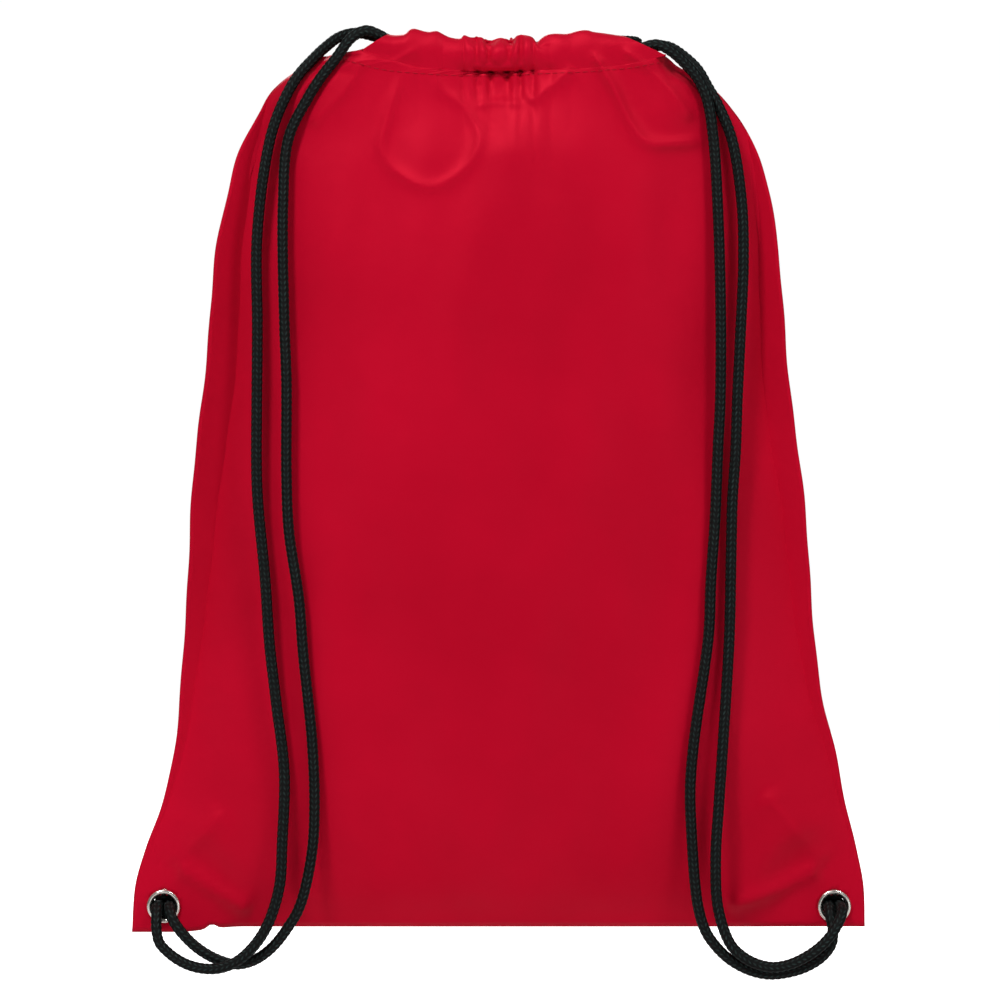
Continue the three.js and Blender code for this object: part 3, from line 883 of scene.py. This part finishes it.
def panel_mesh(name, grid, way):
    """A panel of real thickness with a hole at each eyelet."""
    rows, columns, _ = grid.shape
    normals = grid_normals(grid)
    outside = normals if (normals[rows // 2, columns // 2, 1] * way) > 0 else -normals
    inner = grid - outside * FABRIC_THICKNESS
    centres = (grid[:-1, :-1] + grid[1:, :-1] + grid[:-1, 1:] + grid[1:, 1:]) / 4
    open_cell = np.zeros((rows - 1, columns - 1), bool)
    for ex, ez in EYELETS:
        open_cell |= np.hypot(centres[..., 0] - ex, centres[..., 2] - ez) < HOLE_RADIUS
    kept = ~open_cell.reshape(-1)
    count = rows * columns
    outer_faces = grid_faces(rows, columns)
    if way > 0:
        outer_faces = outer_faces[:, ::-1]
    outer_faces = outer_faces[kept]
    faces = [list(f) for f in outer_faces] + [list(f[::-1] + count) for f in outer_faces]
    faces += rim_faces(outer_faces, count)
    points = np.concatenate([grid.reshape(-1, 3), inner.reshape(-1, 3)])
    used = np.zeros(len(points), bool)
    used[np.concatenate([np.array(f) for f in faces])] = True
    order = np.cumsum(used) - 1
    faces = [[int(order[v]) for v in f] for f in faces]
    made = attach(new_object(f"{name}_fabric", points[used], faces, FABRIC, "fabric"), "bag")
    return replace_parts(made, name)


def softened(movement, passes=3):
    """Evens out a movement from one grid point to the next; the edges stay."""
    movement = movement.copy()
    for _ in range(passes):
        for axis in (0, 1):
            rolled = np.moveaxis(movement, axis, 0)
            rolled[1:-1] = (rolled[:-2] + 2 * rolled[1:-1] + rolled[2:]) / 4
    return movement


def make_pocket():
    front, back = [pocket_grid(way, REFINEMENTS) for way in (-1, 1)]
    moves = settle(pocket_grid(-1, 0, False), pocket_grid(1, 0, False))
    front_move, back_move = [softened(move) for move in moves]
    for _ in range(REFINEMENTS):
        front_move, back_move = refine(front_move), refine(back_move)
    front, back = front + front_move, back + back_move
    front = press_behind_cords(crease(front, -1, FRONT_CREASES), CORD_PATHS)
    back = crease(back, 1, BACK_CREASES)
    return front, back


# ---- Casings: the hem on each lip that the cords run in ----
CASING_COLUMNS, CASING_SIDES = 300, 56
CASING_HALF_DEPTH = 0.0047
CASING_WALL = 0.0006
CORD_COVER = CORD_RADIUS + CASING_WALL + 0.0003
# The top edge of the hem: two peaks, with a lower, ruffled stretch where the mouth is drawn tight.
CREST_KNOTS = [
    RIM_TOPS["left"],
    (-0.0475, 0.4146), (-0.0417, 0.4158), (-0.0380, 0.4176), (-0.0334, 0.4162), (-0.0285, 0.4164),
    (-0.0232, 0.4134), (-0.018, 0.4134), (-0.0153, 0.4146), (-0.0125, 0.4137), (-0.007, 0.4135),
    (-0.0034, 0.4118), (0.0009, 0.4133), (0.0035, 0.4118), (0.0078, 0.4144), (0.0142, 0.4138),
    (0.0182, 0.4114), (0.0237, 0.4148), (0.0325, 0.4154), (0.0365, 0.4168), (0.0429, 0.4162),
    RIM_TOPS["right"],
]
CREST_LINE = through(*zip(*CREST_KNOTS))


def casing_grid(way):
    """A tube whose pleats carry on from the panel's; columns run round it from the stitch line."""
    share = np.linspace(0, 1, CASING_COLUMNS)[:, None]
    angle = (np.arange(CASING_SIDES) / CASING_SIDES * 2 * np.pi)[None, :]
    upward = (1 - np.cos(angle)) / 2
    low, high = [
        ends["left"][0] + (ends["right"][0] - ends["left"][0]) * share for ends in (SHOULDER_TIPS, RIM_TOPS)
    ]
    x = low + (high - low) * upward
    shift = 0.3 * (way + 1)
    fold, size = pleats(x, shift), pleat_size(x)
    height = STITCH_LINE(low) + (CREST_LINE(high + 0.004 * shift) - STITCH_LINE(low)) * upward
    stitched = stitch_depth(low) - CASING_DEPTH + size * fold * (1 - upward)
    rounding = np.sqrt(1 - upward**5)
    pinch = 1.6 - 0.9 * bump(x, GATHER_MIDDLE, PINCHED_REACH)
    front = (stitched + (CASING_HALF_DEPTH - stitched) * (4 * upward * (1 - upward)) ** pinch) * rounding
    rear = stitched * (1 - upward) ** 6 - CASING_HALF_DEPTH * (1 - (1 - upward) ** 4) * rounding
    ruffle = 1.1 * size * fold * np.sin(angle) * upward
    in_front = angle + 0 * x < np.pi
    offset = np.where(in_front, front, rear) + ruffle
    for level in LEVELS.values():
        from_cord = height - level + cord_dip(x)
        cover = np.sqrt(np.maximum(CORD_COVER**2 - from_cord**2, 0)) * smoothstep(1 - upward, 0.02, 0.15)
        outermost = np.where(in_front, np.maximum(offset, cover), np.minimum(offset, -cover))
        offset = np.where(cover > 0, outermost, offset)
    depth = CASING_DEPTH + offset
    lean = 0.0012 * np.sin(x * 205 + shift * 4) + 0.0007 * np.sin(x * 530)
    sway = lean * upward * smoothstep(share, 0, 0.1) * smoothstep(1 - share, 0, 0.1)
    grid = np.stack([x + sway, way * depth, height], -1)
    creased = crease(grid.copy(), way, FRONT_CREASES if way < 0 else BACK_CREASES)
    outside = (in_front * (1 - smoothstep(upward, 0.1, 0.9)))[..., None]
    return grid + (creased - grid) * outside


def casing_mesh(way):
    name = "front_casing" if way < 0 else "back_casing"
    outer = casing_grid(way)
    middle = outer.mean(1, keepdims=True)
    normals = grid_normals(outer, wrap=True)
    facing = ((outer - middle) * normals)[..., 1:].sum() > 0
    normals = normals if facing else -normals
    inner = outer - CASING_WALL * normals
    count = CASING_COLUMNS * CASING_SIDES
    skin = grid_faces(CASING_COLUMNS, CASING_SIDES, wrap=True)
    skin = skin if facing else skin[:, ::-1]
    faces = [list(f) for f in skin] + [list(f[::-1] + count) for f in skin]
    faces += rim_faces(skin, count)
    points = np.concatenate([outer.reshape(-1, 3), inner.reshape(-1, 3)])
    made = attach(new_object(f"{name}_fabric", points, faces, FABRIC, "fabric"), "bag")
    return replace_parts(made, name)


# ---- Stitches ----
STITCH_LENGTH, STITCH_GAP, THREAD_RADIUS = 0.0026, 0.0009, 0.00022
THREAD_STEP, THREAD_PROUD = 0.0004, 0.00012
HEM_DROP = 0.0022


def thread_tube(path, sides=6):
    """Points and faces of a short thread with closed ends."""
    first, second = across_path(path, False)
    angle = np.arange(sides) / sides * 2 * np.pi
    girth = THREAD_RADIUS * np.sin(np.linspace(0.25, np.pi - 0.25, len(path))) ** 0.4
    ring = first[:, None] * np.cos(angle)[None, :, None] + second[:, None] * np.sin(angle)[None, :, None]
    points = (path[:, None] + girth[:, None, None] * ring).reshape(-1, 3)
    last = (len(path) - 1) * sides
    faces = [list(f) for f in grid_faces(len(path), sides, wrap=True)]
    return points, faces + [list(range(sides))[::-1], list(range(last, last + sides))]


def stitch_row(name, line):
    """A row of lockstitches along a line that lies on the fabric."""
    path = even_path(line, THREAD_STEP)
    length, pitch = round(STITCH_LENGTH / THREAD_STEP), round((STITCH_LENGTH + STITCH_GAP) / THREAD_STEP)
    points, faces, total = [], [], 0
    for start in range(2, len(path) - length - 2, pitch):
        p, f = thread_tube(path[start : start + length + 1])
        points.append(p)
        faces += [[v + total for v in face] for face in f]
        total += len(p)
    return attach(new_object(name, np.vstack(points), faces, THREAD, "fabric"), "bag")


def hem_line(grid, way):
    """The line on a panel just below its casing, just proud of the fabric."""
    middle = grid.shape[1] // 2
    row = np.abs(grid[:, middle, 2] - (STITCH_HEIGHT - HEM_DROP)).argmin()
    normals = grid_normals(grid)[row]
    normals = normals * np.sign(normals[:, 1:2] * way)
    return (grid[row] + THREAD_PROUD * normals)[3:-3]


# ---- Eyelets ----
LATHE_SEGMENTS = 96


def arc(middle, reach, start, stop, count=9):
    """Points on an ellipse arc, in degrees from the first axis."""
    angle = np.radians(np.linspace(start, stop, count))
    return [(middle[0] + reach[0] * math.cos(a), middle[1] + reach[1] * math.sin(a)) for a in angle]


def lathe(name, profile, place):
    """Turns a closed profile of (radius, y) about the eyelet's axis."""
    profile = np.array(profile)
    angle = np.arange(LATHE_SEGMENTS) / LATHE_SEGMENTS * 2 * np.pi
    x = profile[:, :1] * np.cos(angle) + place[0]
    z = profile[:, :1] * np.sin(angle) + place[1]
    points = np.stack([x, profile[:, 1:] + 0 * x, z], -1)
    faces = grid_faces(len(profile) + 1, LATHE_SEGMENTS, wrap=True) % (len(profile) * LATHE_SEGMENTS)
    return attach(new_object(name, points, faces, NICKEL, "eyelet"), "bag")


def make_eyelet(side, place):
    """The eyelet with its barrel turned over at the back, and the washer that it holds."""
    bore, barrel, rim = 0.0056, 0.0062, 0.0078
    profile = (
        arc(((bore + rim) / 2, -0.0014), ((rim - bore) / 2, 0.0011), 180, 360, 17)
        + [(rim - 0.0003, -0.0012), (barrel, -0.0012), (barrel, 0.0024)]
        + arc((barrel, 0.0029), (0.0010, 0.0005), -90, 90, 9)
        + [(bore, 0.0030)]
    )
    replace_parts(lathe(f"{side}_eyelet_ring", profile, place), f"{side}_eyelet")
    low, high = 0.0014, 0.0022
    middle = (low + high) / 2
    outer = arc((0.0074, middle), (0.0004, 0.0004), -90, 90)
    inner = arc((0.0068, middle), (0.0003, 0.0004), 90, 270)
    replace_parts(lathe(f"{side}_washer_ring", outer + inner, place), f"{side}_eyelet_washer")


# ---- Floor, light and background ----
FLOOR_DROP = 0.05
FLOOR_RADIUS = 4.0


def make_floor():
    """A pale floor that runs out into the white of the background."""
    rings, segments = 24, 96
    angle = np.arange(segments) / segments * 2 * np.pi
    reach = FLOOR_RADIUS * (np.arange(1, rings + 1) / rings)[:, None] ** 1.5
    points = np.stack([reach * np.cos(angle), reach * np.sin(angle), 0 * reach * angle - FLOOR_DROP], -1)
    faces = [list(f[::-1]) for f in grid_faces(rings, segments, wrap=True)] + [list(range(segments))]
    made, tree, shader = material("pale_floor", Roughness=0.8, Specular_IOR_Level=0.1)
    shader.inputs["Base Color"].default_value = (0.88, 0.88, 0.88, 1)
    distance = node(tree, "ShaderNodeVectorMath", [(0, object_coordinates(tree))], operation="LENGTH")
    glow = remap(tree, distance.outputs["Value"], 0.3, 1.0, 0.6, 1.05)
    seen = node(tree, "ShaderNodeLightPath").outputs["Is Camera Ray"]
    glow = node(tree, "ShaderNodeMath", [(0, glow), (1, seen)], operation="MULTIPLY").outputs[0]
    tree.links.new(glow, shader.inputs["Emission Strength"])
    shader.inputs["Emission Color"].default_value = (1, 1, 1, 1)
    floor = new_object("floor", points, faces, made, "fabric")
    del floor["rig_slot"]


def soft_light(name, place, aim, size, power, colour=(1, 1, 1)):
    light = bpy.data.lights.new(name, "AREA")
    light.shape, light.size, light.energy, light.color = "DISK", size, power, colour
    made = bpy.data.objects.new(name, light)
    made.location = place
    made.rotation_euler = (Vector(aim) - Vector(place)).to_track_quat("-Z", "Y").to_euler()
    bpy.context.scene.collection.objects.link(made)


def make_studio():
    make_floor()
    world = bpy.data.worlds.new("studio")
    bpy.context.scene.world = world
    world.use_nodes = True
    tree = world.node_tree
    seen = node(tree, "ShaderNodeLightPath").outputs["Is Camera Ray"]
    tree.links.new(remap(tree, seen, 0, 1, 0.16, 1.02), tree.nodes["Background"].inputs["Strength"])
    tree.nodes["Background"].inputs["Color"].default_value = (1, 1, 1, 1)
    soft_light("key", (-1.0, -1.9, 2.1), (0, 0, -0.2), 0.6, 48)
    soft_light("top", (0.9, -1.2, 1.4), (0.05, 0, -0.15), 0.4, 9)
    soft_light("fill", (1.6, -2.2, -0.3), (0, 0, -0.25), 1.0, 6.0)
    soft_light("back", (-0.4, 1.7, 1.1), (0, 0, -0.2), 1.0, 14)
    bpy.context.scene.view_settings.view_transform = "Standard"


# ---- Main assembly ----
def make_bag():
    front, back = make_pocket()
    for way, grid, side in ((-1, front, "front"), (1, back, "back")):
        panel = panel_mesh(f"{side}_panel", grid, way)
        casing = casing_mesh(way)
        hem = stitch_row(f"{side}_hem_stitches", hem_line(grid, way))
    for side, place in zip(("left", "right"), EYELETS):
        make_eyelet(side, place)
    for seam in ("left_side_seam", "right_side_seam", "bottom_seam"):
        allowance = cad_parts[seam]
        allowance.data.materials.clear()
        allowance.data.materials.append(FABRIC)
        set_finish(allowance, "fabric")


make_bag()
make_studio()
